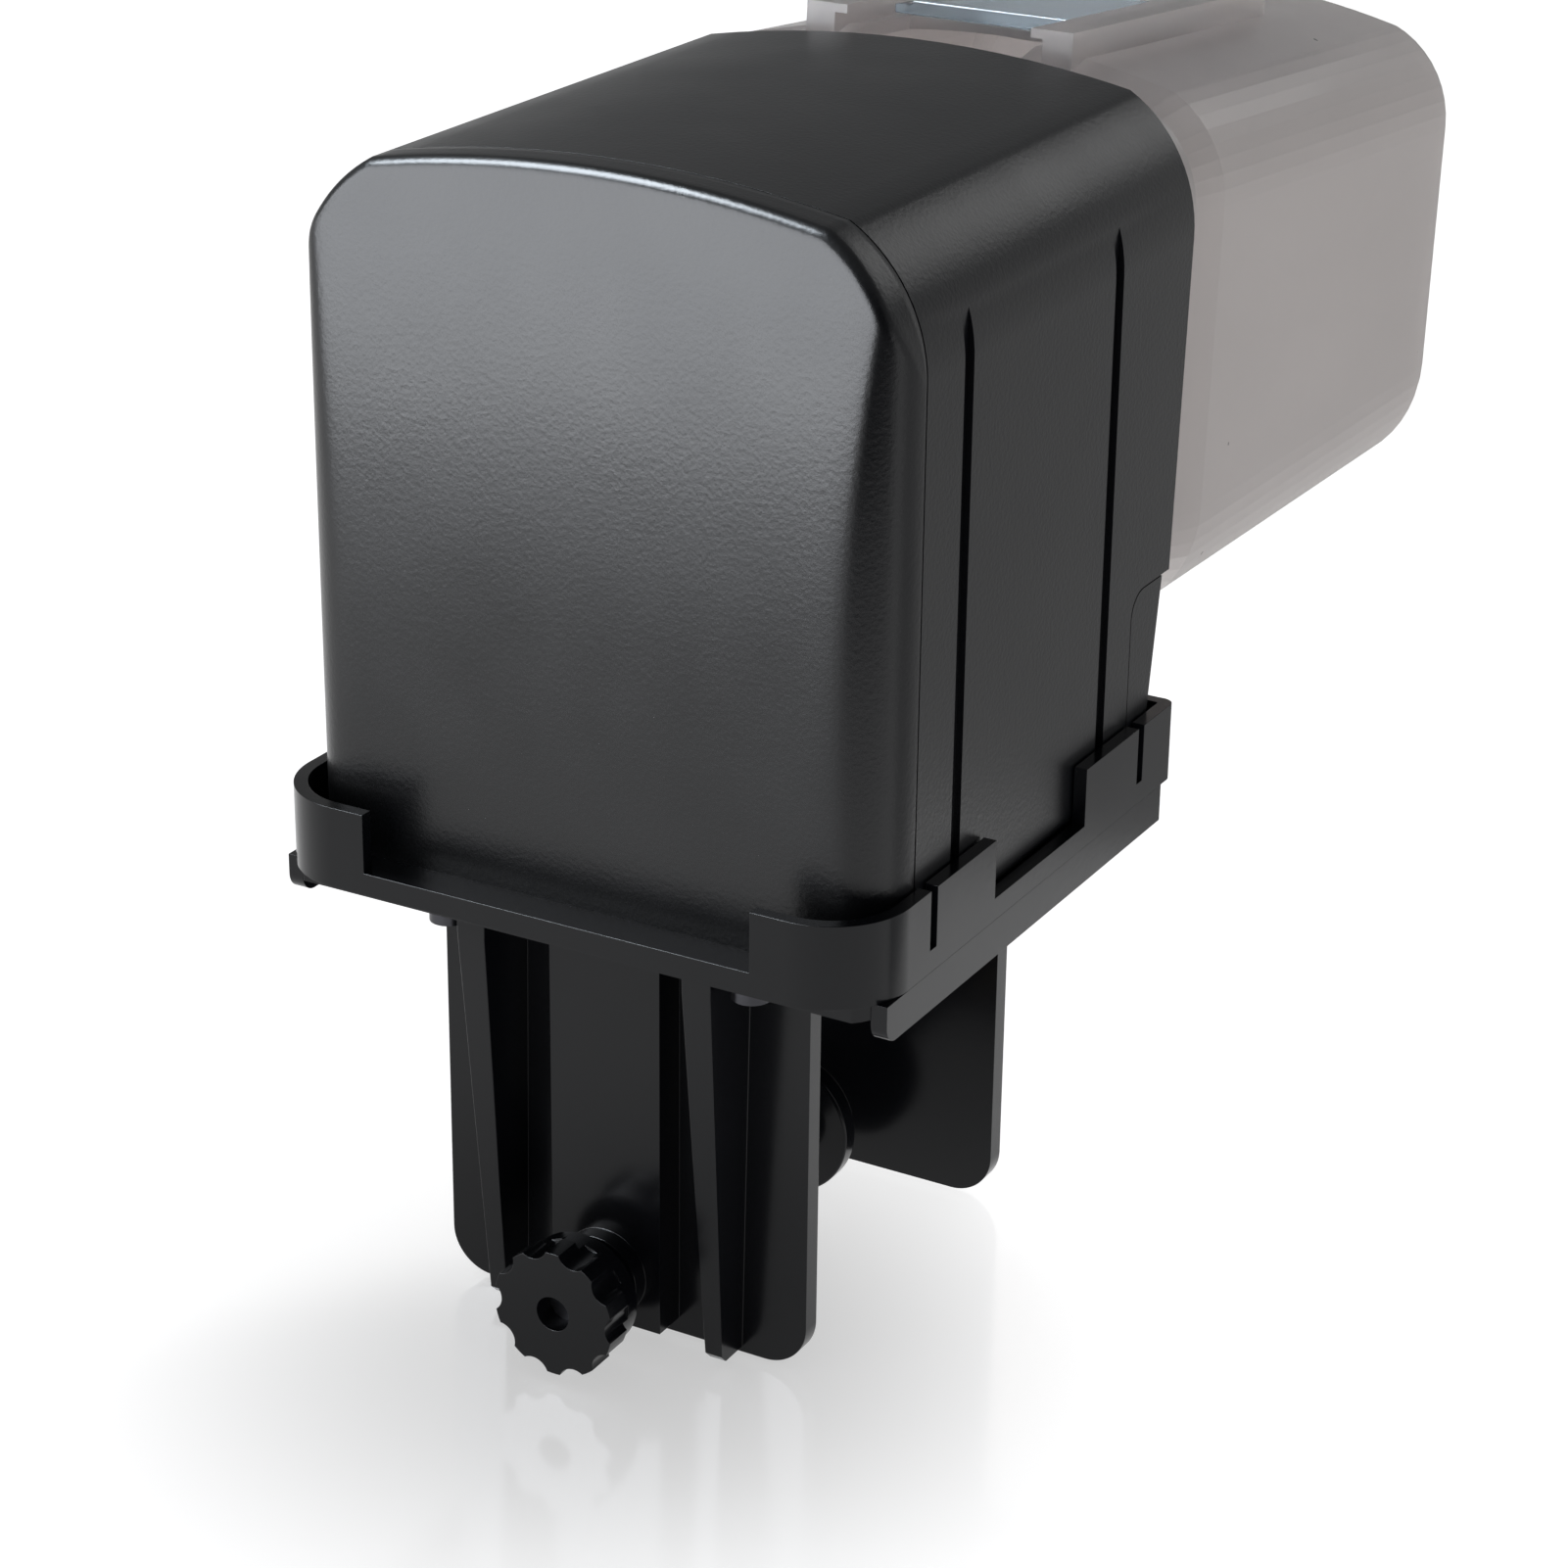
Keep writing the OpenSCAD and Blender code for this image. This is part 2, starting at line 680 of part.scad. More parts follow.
module base_screws() {
    color([0.6, 0.6, 0.62]) for (x = [-1, 1], y = pan_post_y)
        translate([x * (half_w - shell_t - pan_post_r + 0.4), y, base_z]) {
            cylinder(h = 9, r = pan_screw_r - 0.15);
            cylinder(h = 0.95, r = pan_head_r);
        }
}

// ---------- Batteries ----------

module battery_door() {
    color([0.08, 0.08, 0.09]) difference() {
        union() {
            translate([-door_x, door_y0, base_z]) cube([2 * door_x, door_y1 - door_y0, pan_t]);
            translate([0, door_y1, door_z]) rod_x(-door_x, door_x, pan_t / 2);
            translate([0, door_y1, door_z]) rod_x(-door_x - 1.7, door_x + 1.7, door_pin_r);
        }
        // finger notch at the edge that opens
        translate([-6, door_y0 - 1, base_z - 1]) cube([12, 2.4, 1.8]);
    }
}

module battery_holder() {
    z0 = base_z + pan_t;
    x = holder_x + holder_t;
    color([0.14, 0.14, 0.15]) difference() {
        translate([-x, holder_y0 - holder_t, z0])
            cube([2 * x, holder_y1 - holder_y0 + 2 * holder_t, holder_h + holder_t]);
        translate([-holder_x, holder_y0, z0 - 1])
            cube([2 * holder_x, holder_y1 - holder_y0, holder_h + 1]);
    }
}

module battery_cells() {
    color([0.75, 0.6, 0.25]) for (i = [0, 1]) translate([0, cell_y[i], cell_z]) {
        s = i == 0 ? 1 : -1;
        rod_x(-cell_len / 2 + (s < 0 ? 1.2 : 0), cell_len / 2 - (s > 0 ? 1.2 : 0), cell_d / 2);
        rod_x(s > 0 ? cell_len / 2 - 1.3 : -cell_len / 2, s > 0 ? cell_len / 2 : -cell_len / 2 + 1.3, 2.7);
    }
}

module battery_springs() {
    x0 = cell_len / 2;
    color([0.8, 0.8, 0.82]) for (i = [0, 1]) translate([(i == 0 ? -1 : 1) * x0, cell_y[i], cell_z])
        rotate([0, i == 0 ? -90 : 90, 0]) for (k = [0 : 3])
            translate([0, 0, spring_wire / 2 + k * spring_wire * 0.93]) rotate_extrude()
                translate([3 + k * 0.35, 0]) circle(spring_wire / 2, $fn = 16);
}

module battery_plates() {
    nub_x = cell_len / 2 + 0.3;
    color([0.8, 0.8, 0.82]) {
        for (i = [0, 1], s = [-1, 1])
            translate([s * (holder_x - 0.2) - 0.2, cell_y[i] - 5, cell_z - 5]) cube([0.4, 10, 10]);
        // raised contacts that meet the cells' positive ends
        translate([0, cell_y[0], cell_z]) rod_x(nub_x, holder_x - 0.2, 2.2);
        translate([0, cell_y[1], cell_z]) rod_x(-holder_x + 0.2, -nub_x, 2.2);
    }
}

// ---------- Controls ----------

module control_panel() {
    color([0.16, 0.16, 0.17]) difference() {
        translate([side_x, panel_y[0] + 0.1, panel_z[0] + 0.1])
            cube([panel_t - 0.05, panel_y[1] - panel_y[0] - 0.2, panel_z[1] - panel_z[0] - 0.2]);
        translate([side_x - 1, panel_mid_y - window_w / 2 + 1, window_z - window_h / 2 + 1])
            cube([panel_t + 2, window_w - 2, window_h - 2]);
        for (y = button_y) translate([0, y, button_z])
            rod_x(side_x - 1, side_x + panel_t + 1, button_d / 2 + 0.15);
    }
}

module display_window() {
    color([0.6, 0.65, 0.65, 0.5])
        translate([side_x + panel_t, panel_mid_y - window_w / 2 + 0.2, window_z - window_h / 2 + 0.2])
            cube([0.8, window_w - 0.4, window_h - 0.4]);
}

module display_module() {
    color([0.5, 0.56, 0.5])
        translate([side_x + panel_t + 1, panel_mid_y - window_w / 2 - 1, window_z - window_h / 2 - 1])
            cube([board_x - side_x - panel_t - 1, window_w + 2, window_h + 2]);
}

module circuit_board() {
    color([0.1, 0.35, 0.15]) difference() {
        translate([board_x, board_y[0], board_z[0]])
            cube([board_t, board_y[1] - board_y[0], board_z[1] - board_z[0]]);
        for (y = board_post_y, z = board_post_z) translate([0, y, z]) rod_x(board_x - 1, board_x + 3, 0.8);
    }
}

module switch_block() {
    color([0.2, 0.2, 0.22]) for (y = button_y)
        translate([board_x - switch_t, y - switch_w / 2, button_z - switch_w / 2])
            cube([switch_t, switch_w, switch_w]);
}

module push_button(y) {
    translate([0, y, button_z]) {
        rod_x(side_x - button_proud, side_x + panel_t + 0.6, button_d / 2);
        rod_x(side_x + panel_t + 0.05, side_x + panel_t + 0.9, button_d / 2 + 0.4);
        rod_x(side_x + panel_t + 0.8, board_x - switch_t - button_travel - 0.1, button_d / 2 - 1);
    }
}

module set_button() {
    color([0.55, 0.56, 0.58]) push_button(button_y[0]);
}

module adjust_button() {
    color([0.55, 0.56, 0.58]) push_button(button_y[1]);
}

module feed_button() {
    color([0.55, 0.56, 0.58]) push_button(button_y[2]);
}

// ---------- Drive ----------

// Point of an involute flank at radius r, on a base circle rb
function flank(rb, r) = let (a = acos(min(1, rb / r))) tan(a) * 180 / PI - a;

// Tooth outline: involute flanks with backlash, from below the base circle up to the tip
module gear_outline(n, backlash = 0.09) {
    pressure = 25;
    rp = n * gear_m / 2;
    rb = rp * cos(pressure);
    tip = rp + 0.9 * gear_m;
    root = rp - 1.15 * gear_m;
    half = 90 / n - backlash / rp * 90 / PI + flank(rb, rp);
    rs = [for (k = [0 : 3]) max(rb, root) + (tip - max(rb, root)) * k / 3];
    up = [for (r = rs) [r, half - flank(rb, r)]];
    for (i = [0 : n - 1]) rotate(360 / n * i) polygon(concat(
        [[0, 0], [root * cos(half + 0.5), -root * sin(half + 0.5)]],
        [for (q = up) [q[0] * cos(q[1]), -q[0] * sin(q[1])]],
        [for (k = [3 : -1 : 0]) [up[k][0] * cos(up[k][1]), up[k][0] * sin(up[k][1])]],
        [[root * cos(half + 0.5), root * sin(half + 0.5)]]));
    circle(root);
}

// Gear on the tilted frame: centre in X and along the wall, depth range and turn of its first tooth
module gear_at(c, v0, v1, n, turn, bore) {
    translate([c[0], v1, c[1]]) rotate([90, 0, 0]) linear_extrude(v1 - v0) difference() {
        rotate(turn) gear_outline(n);
        circle(bore);
    }
}

// Sleeves that keep a gear in place between the two plates
module sleeve_at(c, v_low, v_high) {
    for (v = [[plate_b_v + 0.1, v_low], [v_high, plate_a_v - 0.1]])
        translate([c[0], v[1], c[1]]) rotate([90, 0, 0]) linear_extrude(v[1] - v[0]) difference() {
            circle(sleeve_r);
            circle(arbor_r + run);
        }
}

// Turns that put a tooth of one gear in a gap of the next
turn_out = angle_2;
turn_2p = angle_2 + 180 + 180 / pinion_n;
turn_2w = angle_1;
turn_1p = angle_1 + 180 + 180 / pinion_n;
turn_1w = angle_m;
turn_m = angle_m + 180 + 180 / pinion_n;

module output_gear() {
    color([0.9, 0.9, 0.86]) tilted() {
        gear_at([0, 0], layer_v[0], layer_v[0] + layer_t, output_n, turn_out, shaft_d / 2);
        difference() {
            rod_y(layer_v[0] - 2.4, layer_v[0], 3.9);
            rod_y(layer_v[0] - 3, layer_v[0] + 1, shaft_d / 2);
        }
    }
}

module second_gear() {
    color([0.92, 0.92, 0.88]) tilted() {
        gear_at(gear2_c, layer_v[0] - 0.4, layer_v[0] + layer_t - 0.2, pinion_n, turn_2p, arbor_r + run);
        gear_at(gear2_c, layer_v[1], layer_v[1] + layer_t, wheel_n, turn_2w, arbor_r + run);
        sleeve_at(gear2_c, layer_v[1], layer_v[0] + layer_t - 0.2);
    }
}

module first_gear() {
    color([0.92, 0.92, 0.88]) tilted() {
        gear_at(gear1_c, layer_v[1] - 0.4, layer_v[1] + layer_t - 0.2, pinion_n, turn_1p, arbor_r + run);
        gear_at(gear1_c, layer_v[2], layer_v[2] + layer_t, wheel_n, turn_1w, arbor_r + run);
        sleeve_at(gear1_c, layer_v[2], layer_v[1] + layer_t - 0.2);
    }
}

module motor_pinion() {
    color([0.85, 0.7, 0.35]) tilted() {
        gear_at(motor_c, layer_v[2] - 0.2, layer_v[2] + layer_t, pinion_n, turn_m, motor_shaft_r);
        translate([motor_c[0], 0, motor_c[1]])
            rod_y(plate_b_v - gear_plate_t - 2.5, layer_v[2] + layer_t, motor_shaft_r);
    }
}

module motor() {
    v1 = plate_b_v - gear_plate_t;
    color([0.7, 0.7, 0.72]) tilted() translate([motor_c[0], 0, motor_c[1]]) difference() {
        union() {
            intersection() {
                rod_y(v1 - 25, v1, 10);
                translate([-10, v1 - 26, -7.5]) cube([20, 27, 15]);
            }
            rod_y(v1 - 0.01, v1 + 1.2, 3);
        }
        rod_y(v1 - 3, v1 + 2, motor_shaft_r + run);
    }
}

module gear_arbors() {
    color([0.75, 0.75, 0.77]) tilted() for (c = [gear1_c, gear2_c]) translate([c[0], 0, c[1]])
        rod_y(plate_b_v - gear_plate_t + 0.2, plate_a_v + gear_plate_t - 0.2, arbor_r);
}

module gear_plate_outline() {
    soft_rect(plate_mid[0] - plate_half[0], plate_mid[1] - plate_half[1],
        plate_mid[0] + plate_half[0], plate_mid[1] + plate_half[1], 3);
}

// Plate of the gearbox with its arbor, screw and shaft bores; children are further cuts
module gear_plate(v0) {
    difference() {
        along_y(v0, v0 + gear_plate_t) gear_plate_outline();
        for (c = [gear1_c, gear2_c]) translate([c[0], 0, c[1]]) rod_y(v0 - 1, v0 + 3, arbor_r);
        for (c = pillar_at) translate([c[0], 0, c[1]]) rod_y(v0 - 1, v0 + 3, 1.1);
        rod_y(v0 - 1, v0 + 3, shaft_d / 2 + run);
        children();
    }
}

module rear_gear_plate() {
    color([0.3, 0.3, 0.33]) tilted() difference() {
        union() {
            gear_plate(plate_a_v);
            // pillars that keep the two plates apart
            for (c = pillar_at) translate([c[0], 0, c[1]]) rod_y(plate_b_v, plate_a_v, pillar_r);
        }
        for (c = pillar_at) translate([c[0], 0, c[1]]) rod_y(plate_b_v - 1, plate_a_v + 3, 1.1);
    }
}

module front_gear_plate() {
    color([0.3, 0.3, 0.33]) tilted() gear_plate(plate_b_v - gear_plate_t)
        translate([motor_c[0], 0, motor_c[1]]) rod_y(plate_b_v - gear_plate_t - 1, plate_b_v + 1, 3.05);
}

module gearbox_screws() {
    head_v = plate_b_v - gear_plate_t;
    color([0.6, 0.6, 0.62]) tilted() for (c = pillar_at) translate([c[0], 0, c[1]]) {
        rod_y(head_v - 0.01, -rear_wall_t - 0.6, 0.95);
        rod_y(head_v - 1.3, head_v, 2);
    }
}

module output_shaft() {
    color([0.78, 0.78, 0.8]) tilted() difference() {
        rod_y(shaft_back_v, hub_v + hub_len, shaft_d / 2);
        rod_y(hub_v + hub_len - 5, hub_v + hub_len + 1, 1);
    }
}

module shaft_bush() {
    color([0.7, 0.55, 0.3]) tilted() difference() {
        union() {
            rod_y(-rear_wall_t, 0, bush_r);
            rod_y(-rear_wall_t - 0.9, -rear_wall_t, bush_r + 1.5);
        }
        rod_y(-rear_wall_t - 2, 1, shaft_d / 2 + run);
    }
}

module shaft_seal() {
    color([0.12, 0.12, 0.12]) tilted() difference() {
        rod_y(0, 0.7, bush_r + 2);
        rod_y(-1, 2, shaft_d / 2 + run);
    }
}

module index_cam() {
    color([0.9, 0.5, 0.15]) tilted() difference() {
        rod_y(cam_v, cam_v + cam_t, cam_r);
        rod_y(cam_v - 1, cam_v + cam_t + 1, shaft_d / 2);
        translate([0, cam_v - 1, cam_r + 0.6]) rod_y(0, cam_t + 2, 1.6);
    }
}

module position_switch() {
    v1 = plate_b_v - gear_plate_t;
    color([0.15, 0.15, 0.16]) tilted() {
        translate([-6.4, v1 - 5.8, -cam_r - 9]) cube([12.8, 5.8, 6.5]);
        // lever that rides just clear of the cam
        translate([-6, cam_v, -cam_r - 2.6]) cube([0.6, cam_t, 2]);
        translate([-6, cam_v, -cam_r - 0.9]) cube([12, cam_t, 0.5]);
    }
}

module drive_hub() {
    color([0.2, 0.2, 0.22]) tilted() difference() {
        along_y(hub_v, hub_v + hub_len) circle(r = hub_r, $fn = 6);
        rod_y(hub_v - 1, hub_v + hub_len + 1, shaft_d / 2);
    }
}

module hub_screw() {
    v = hub_v + hub_len;
    color([0.6, 0.6, 0.62]) tilted() {
        rod_y(v - 4, v + 0.01, 0.95);
        rod_y(v, v + 1.5, 3);
    }
}

// ---------- Drum ----------

// Thin slice of the drum's outline at a place along its axis; the drum narrows towards its far end
module drum_slice(v, shrink) {
    share = max(0, (v - drum_full_v) / (drum_end_v - drum_full_v));
    translate([0, v + blade, 0]) rotate([90, 0, 0]) linear_extrude(blade)
        drum_section(shrink, share, $fn = 48);
}

module drum_form(inset, v0) {
    hull() {
        drum_slice(v0, edge_in + inset);
        drum_slice(drum_full_v, inset);
        drum_slice(drum_end_v - drum_round, inset);
        drum_slice(drum_end_v - drum_round * 0.5 - inset * 0.4, inset + drum_round * 0.14);
        drum_slice(drum_end_v - drum_round * 0.14 - inset * 0.8, inset + drum_round * 0.5);
        drum_slice(drum_end_v - inset - blade, inset + drum_round);
    }
}

// Frame of the drum's top face, where the shutter slides; its Y starts level with the rear wall
module deck_frame() {
    tilted() translate([0, drum_full_v, drum_h / 2]) rotate([-deck_draft, 0, 0])
        translate([0, -drum_full_v, 0]) children();
}

// Food outlet through the top of the drum and through the lid's plug
module outlet_cut(depth) {
    deck_frame() translate([-outlet_x, outlet_v, -depth]) cube([2 * outlet_x, outlet_len, depth]);
}

module drum_shell() {
    color([0.55, 0.52, 0.52, 0.6]) difference() {
        union() {
            tilted() difference() {
                drum_form(0, drum_v);
                drum_form(drum_t, drum_v - 0.1);
            }
            // raised guides on each side of the shutter, and the stop at its far end
            deck_frame() {
                for (s = [-1, 1]) {
                    translate([s * (rail_x + guide_w / 2) - guide_w / 2, deck_v, -guide_sink])
                        cube([guide_w, deck_len, guide_sink + guide_top]);
                    translate([s * rail_x - guide_lap, deck_v, shutter_t - deck_sink + 0.2])
                        cube([2 * guide_lap, deck_len, guide_top - shutter_t + deck_sink - 0.2]);
                }
                translate([-rail_x, deck_v + deck_len - deck_stop, -deck_sink - eps])
                    cube([2 * rail_x, deck_stop, deck_sink + guide_top]);
            }
        }
        outlet_cut(6);
        // flat bed under the shutter
        deck_frame() translate([-rail_x, 0, -deck_sink])
            cube([2 * rail_x, deck_v + deck_len - deck_stop, shutter_t + 0.2]);
    }
}

module drum_base() {
    rim_end = collar_v + collar_t;
    socket_r = hub_r + socket_t + 0.3;
    color([0.6, 0.58, 0.58, 0.7]) difference() {
        tilted() difference() {
            union() {
                // rim ring that shows between body and drum
                along_y(collar_v, rim_end) drum_section(edge_in - 0.4);
                // lid that plugs the drum's mouth
                along_y(rim_end - eps, drum_v + 2.4) drum_section(edge_in + drum_t + 0.25);
                rod_y(collar_v, hub_v + hub_len + 3.4, socket_r);
            }
            along_y(collar_v + lid_t, drum_v + 3) difference() {
                drum_section(edge_in + drum_t + 2);
                circle(socket_r);
            }
            // socket that takes the drive hub and its screw head
            along_y(collar_v - 1, hub_v + hub_len) circle(r = hub_r + 0.1, $fn = 6);
            rod_y(hub_v, hub_v + hub_len + 1.8, 4);
        }
        outlet_cut(9);
    }
}

module shutter() {
    color([0.75, 0.82, 0.84, 0.5]) deck_frame()
        translate([-shutter_w / 2, shutter_v, shutter_lift - deck_sink]) {
            cube([shutter_w, shutter_len, shutter_t]);
            // raised rim at the front edge, between the guides
            translate([shutter_w / 2 - outlet_x, 0, 0]) cube([2 * outlet_x, rim_w, shutter_t + rim_h]);
        }
}

bracket_tray();
clamp_frame();
front_clamp_plate();
rear_clamp_plate();
captive_nut();
bracket_screws();
clamp_screw();
clamp_knob();
pressure_foot();
foot_cushion();
end_cover();
cover_seal();
main_housing();
base_pan();
base_screws();
battery_door();
battery_holder();
battery_cells();
battery_springs();
battery_plates();
control_panel();
display_window();
display_module();
circuit_board();
switch_block();
set_button();
adjust_button();
feed_button();
output_gear();
second_gear();
first_gear();
motor_pinion();
motor();
gear_arbors();
rear_gear_plate();
front_gear_plate();
gearbox_screws();
output_shaft();
shaft_bush();
shaft_seal();
index_cam();
position_switch();
drive_hub();
hub_screw();
drum_shell();
drum_base();
shutter();
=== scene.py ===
"""Looks of the automatic fish feeder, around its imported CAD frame."""
import json
import math

import bmesh
import bpy
from mathutils import Matrix, Vector


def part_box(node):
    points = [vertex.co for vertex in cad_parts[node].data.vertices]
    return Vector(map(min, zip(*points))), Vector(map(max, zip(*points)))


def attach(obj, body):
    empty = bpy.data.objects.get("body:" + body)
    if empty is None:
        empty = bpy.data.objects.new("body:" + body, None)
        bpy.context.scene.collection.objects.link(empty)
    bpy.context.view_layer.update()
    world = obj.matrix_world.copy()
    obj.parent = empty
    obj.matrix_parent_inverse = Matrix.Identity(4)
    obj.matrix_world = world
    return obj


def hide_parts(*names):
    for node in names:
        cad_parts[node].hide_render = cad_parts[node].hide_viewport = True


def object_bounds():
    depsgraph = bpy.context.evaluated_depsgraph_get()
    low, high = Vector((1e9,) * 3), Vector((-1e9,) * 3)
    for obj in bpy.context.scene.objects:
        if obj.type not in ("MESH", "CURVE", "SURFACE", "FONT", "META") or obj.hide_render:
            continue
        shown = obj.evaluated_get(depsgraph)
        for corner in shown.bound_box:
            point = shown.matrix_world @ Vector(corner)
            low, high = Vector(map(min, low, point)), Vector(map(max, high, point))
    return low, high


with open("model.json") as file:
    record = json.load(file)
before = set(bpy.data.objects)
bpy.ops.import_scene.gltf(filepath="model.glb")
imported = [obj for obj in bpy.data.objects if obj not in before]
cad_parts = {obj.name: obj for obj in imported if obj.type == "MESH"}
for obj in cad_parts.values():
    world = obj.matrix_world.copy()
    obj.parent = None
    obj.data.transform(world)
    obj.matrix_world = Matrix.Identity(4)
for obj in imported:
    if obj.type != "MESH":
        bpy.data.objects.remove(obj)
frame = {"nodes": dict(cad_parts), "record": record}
cad_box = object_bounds()

MM = 0.001  # one millimetre in metres; the numbers of the front cover below are in millimetres
NODES = frame["nodes"]
RECORD = frame["record"]
BODY_OF = {n: b for b, ns in RECORD["behaviour"]["bodies"].items() for n in ns}
SLOT_OF = {s["node"]: s["material_slot"] for s in RECORD["subparts"]}
BLACKENED = ("clamp_screw", "bracket_screws", "base_screws")
ROUNDED = {  # nodes shown with rounded edges, and the width of the rounding in millimetres
    "main_housing": 0.35, "base_pan": 0.3, "bracket_tray": 0.55, "clamp_frame": 0.3,
    "front_clamp_plate": 0.35, "rear_clamp_plate": 0.35, "clamp_knob": 0.35, "pressure_foot": 0.3,
    "drum_base": 0.3, "shutter": 0.25, "control_panel": 0.2, "battery_door": 0.25,
    "set_button": 0.35, "adjust_button": 0.35, "feed_button": 0.35,
}


def add(name, mesh):
    """Puts a mesh into the scene as an object."""
    piece = bpy.data.objects.new(name, mesh)
    bpy.context.scene.collection.objects.link(piece)
    return piece


# ---------- materials ----------

class Look:
    """A node material whose textures run in the object's own space, in metres."""

    def __init__(self, name):
        self.mat = bpy.data.materials.new(name)
        self.mat.use_nodes = True
        self.tree = self.mat.node_tree
        self.shader = self.tree.nodes["Principled BSDF"]
        self.coord = self.tree.nodes.new("ShaderNodeTexCoord")

    def set(self, **values):
        """Values of the shader's own sockets: specular_ior_level=0.4 sets Specular IOR Level."""
        names = {s.name.lower().replace(" ", "_"): s for s in self.shader.inputs}
        for key, value in values.items():
            names[key].default_value = (*value, 1) if isinstance(value, tuple) else value

    def link(self, source, target):
        self.tree.links.new(source, target)

    def noise(self, size, detail=3.0, stretch=(1, 1, 1)):
        """Noise with features of about that size, in metres; stretch lengthens them along an axis."""
        place = self.tree.nodes.new("ShaderNodeMapping")
        place.inputs["Scale"].default_value = tuple(1 / s for s in stretch)
        self.link(self.coord.outputs["Object"], place.inputs["Vector"])
        tex = self.tree.nodes.new("ShaderNodeTexNoise")
        tex.inputs["Scale"].default_value = 1 / size
        tex.inputs["Detail"].default_value = detail
        self.link(place.outputs["Vector"], tex.inputs["Vector"])
        return tex.outputs["Fac"]

    def cells(self, size):
        """Rounded cells of about that size, in metres."""
        tex = self.tree.nodes.new("ShaderNodeTexVoronoi")
        tex.inputs["Scale"].default_value = 1 / size
        self.link(self.coord.outputs["Object"], tex.inputs["Vector"])
        return tex.outputs["Distance"]

    def spread(self, source, low, high, start=0.0, end=1.0):
        """A value that runs smoothly from low to high as the source runs from start to end."""
        ramp = self.tree.nodes.new("ShaderNodeMapRange")
        ramp.interpolation_type = "SMOOTHSTEP"
        ramp.inputs["From Min"].default_value = start
        ramp.inputs["From Max"].default_value = end
        ramp.inputs["To Min"].default_value = low
        ramp.inputs["To Max"].default_value = high
        self.link(source, ramp.inputs["Value"])
        return ramp.outputs["Result"]

    def tint(self, source, low, high):
        """A colour that runs between two colours."""
        mix = self.tree.nodes.new("ShaderNodeMix")
        mix.data_type = "RGBA"
        mix.inputs["A"].default_value = (*low, 1)
        mix.inputs["B"].default_value = (*high, 1)
        self.link(source, mix.inputs["Factor"])
        return mix.outputs["Result"]

    def bumps(self, *layers):
        """Bump from (source, height in metres) pairs, one over another."""
        below = None
        for source, height in layers:
            node = self.tree.nodes.new("ShaderNodeBump")
            node.inputs["Distance"].default_value = height
            self.link(source, node.inputs["Height"])
            if below:
                self.link(below, node.inputs["Normal"])
            below = node.outputs["Normal"]
        self.link(below, self.shader.inputs["Normal"])

    def colour(self, source):
        self.link(source, self.shader.inputs["Base Color"])

    def roughness(self, source):
        self.link(source, self.shader.inputs["Roughness"])


def shade(colour, k):
    """The colour made k times as bright."""
    return tuple(min(1.0, c * k) for c in colour)


def moulded(name, colour, rough, grain, height, vary=0.15, **sockets):
    """Moulded plastic: spark-eroded grain, cloudy handling marks and a slight drift in colour."""
    look = Look(name)
    cloud = look.noise(14 * MM, 3)
    speck = look.noise(grain, 2)
    dark, bright = shade(colour, 1 - vary), shade(colour, 1 + vary)
    look.colour(look.tint(look.spread(cloud, 0, 1), dark, bright))
    look.roughness(look.spread(cloud, rough - 0.04, rough + 0.04))
    look.bumps((speck, height), (look.cells(grain * 1.7), height * 0.6))
    look.set(**sockets)
    return look.mat


def clear_plastic(name, colour, rough, through, **sockets):
    """Translucent plastic with soft flow marks and fine scuffs."""
    look = Look(name)
    flow = look.noise(16 * MM, 2, stretch=(1, 3, 1))
    scuff = look.noise(6 * MM, 3)
    look.colour(look.tint(look.spread(flow, 0, 1), shade(colour, 0.96), shade(colour, 1.03)))
    look.roughness(look.spread(scuff, rough, rough + 0.08))
    look.bumps((flow, 0.02 * MM))
    look.set(transmission_weight=through, ior=1.49, **sockets)
    return look.mat


def metal(name, colour, rough, grain=0.25 * MM, **sockets):
    """Metal with fine turned or rolled marks."""
    look = Look(name)
    marks = look.noise(grain, 4, stretch=(8, 1, 1))
    tarnish = look.noise(4 * MM, 4)
    look.colour(look.tint(look.spread(tarnish, 0, 1), shade(colour, 0.85), shade(colour, 1.08)))
    look.roughness(look.spread(marks, rough - 0.06, rough + 0.08))
    look.bumps((marks, 0.01 * MM))
    look.set(metallic=1.0, **sockets)
    return look.mat


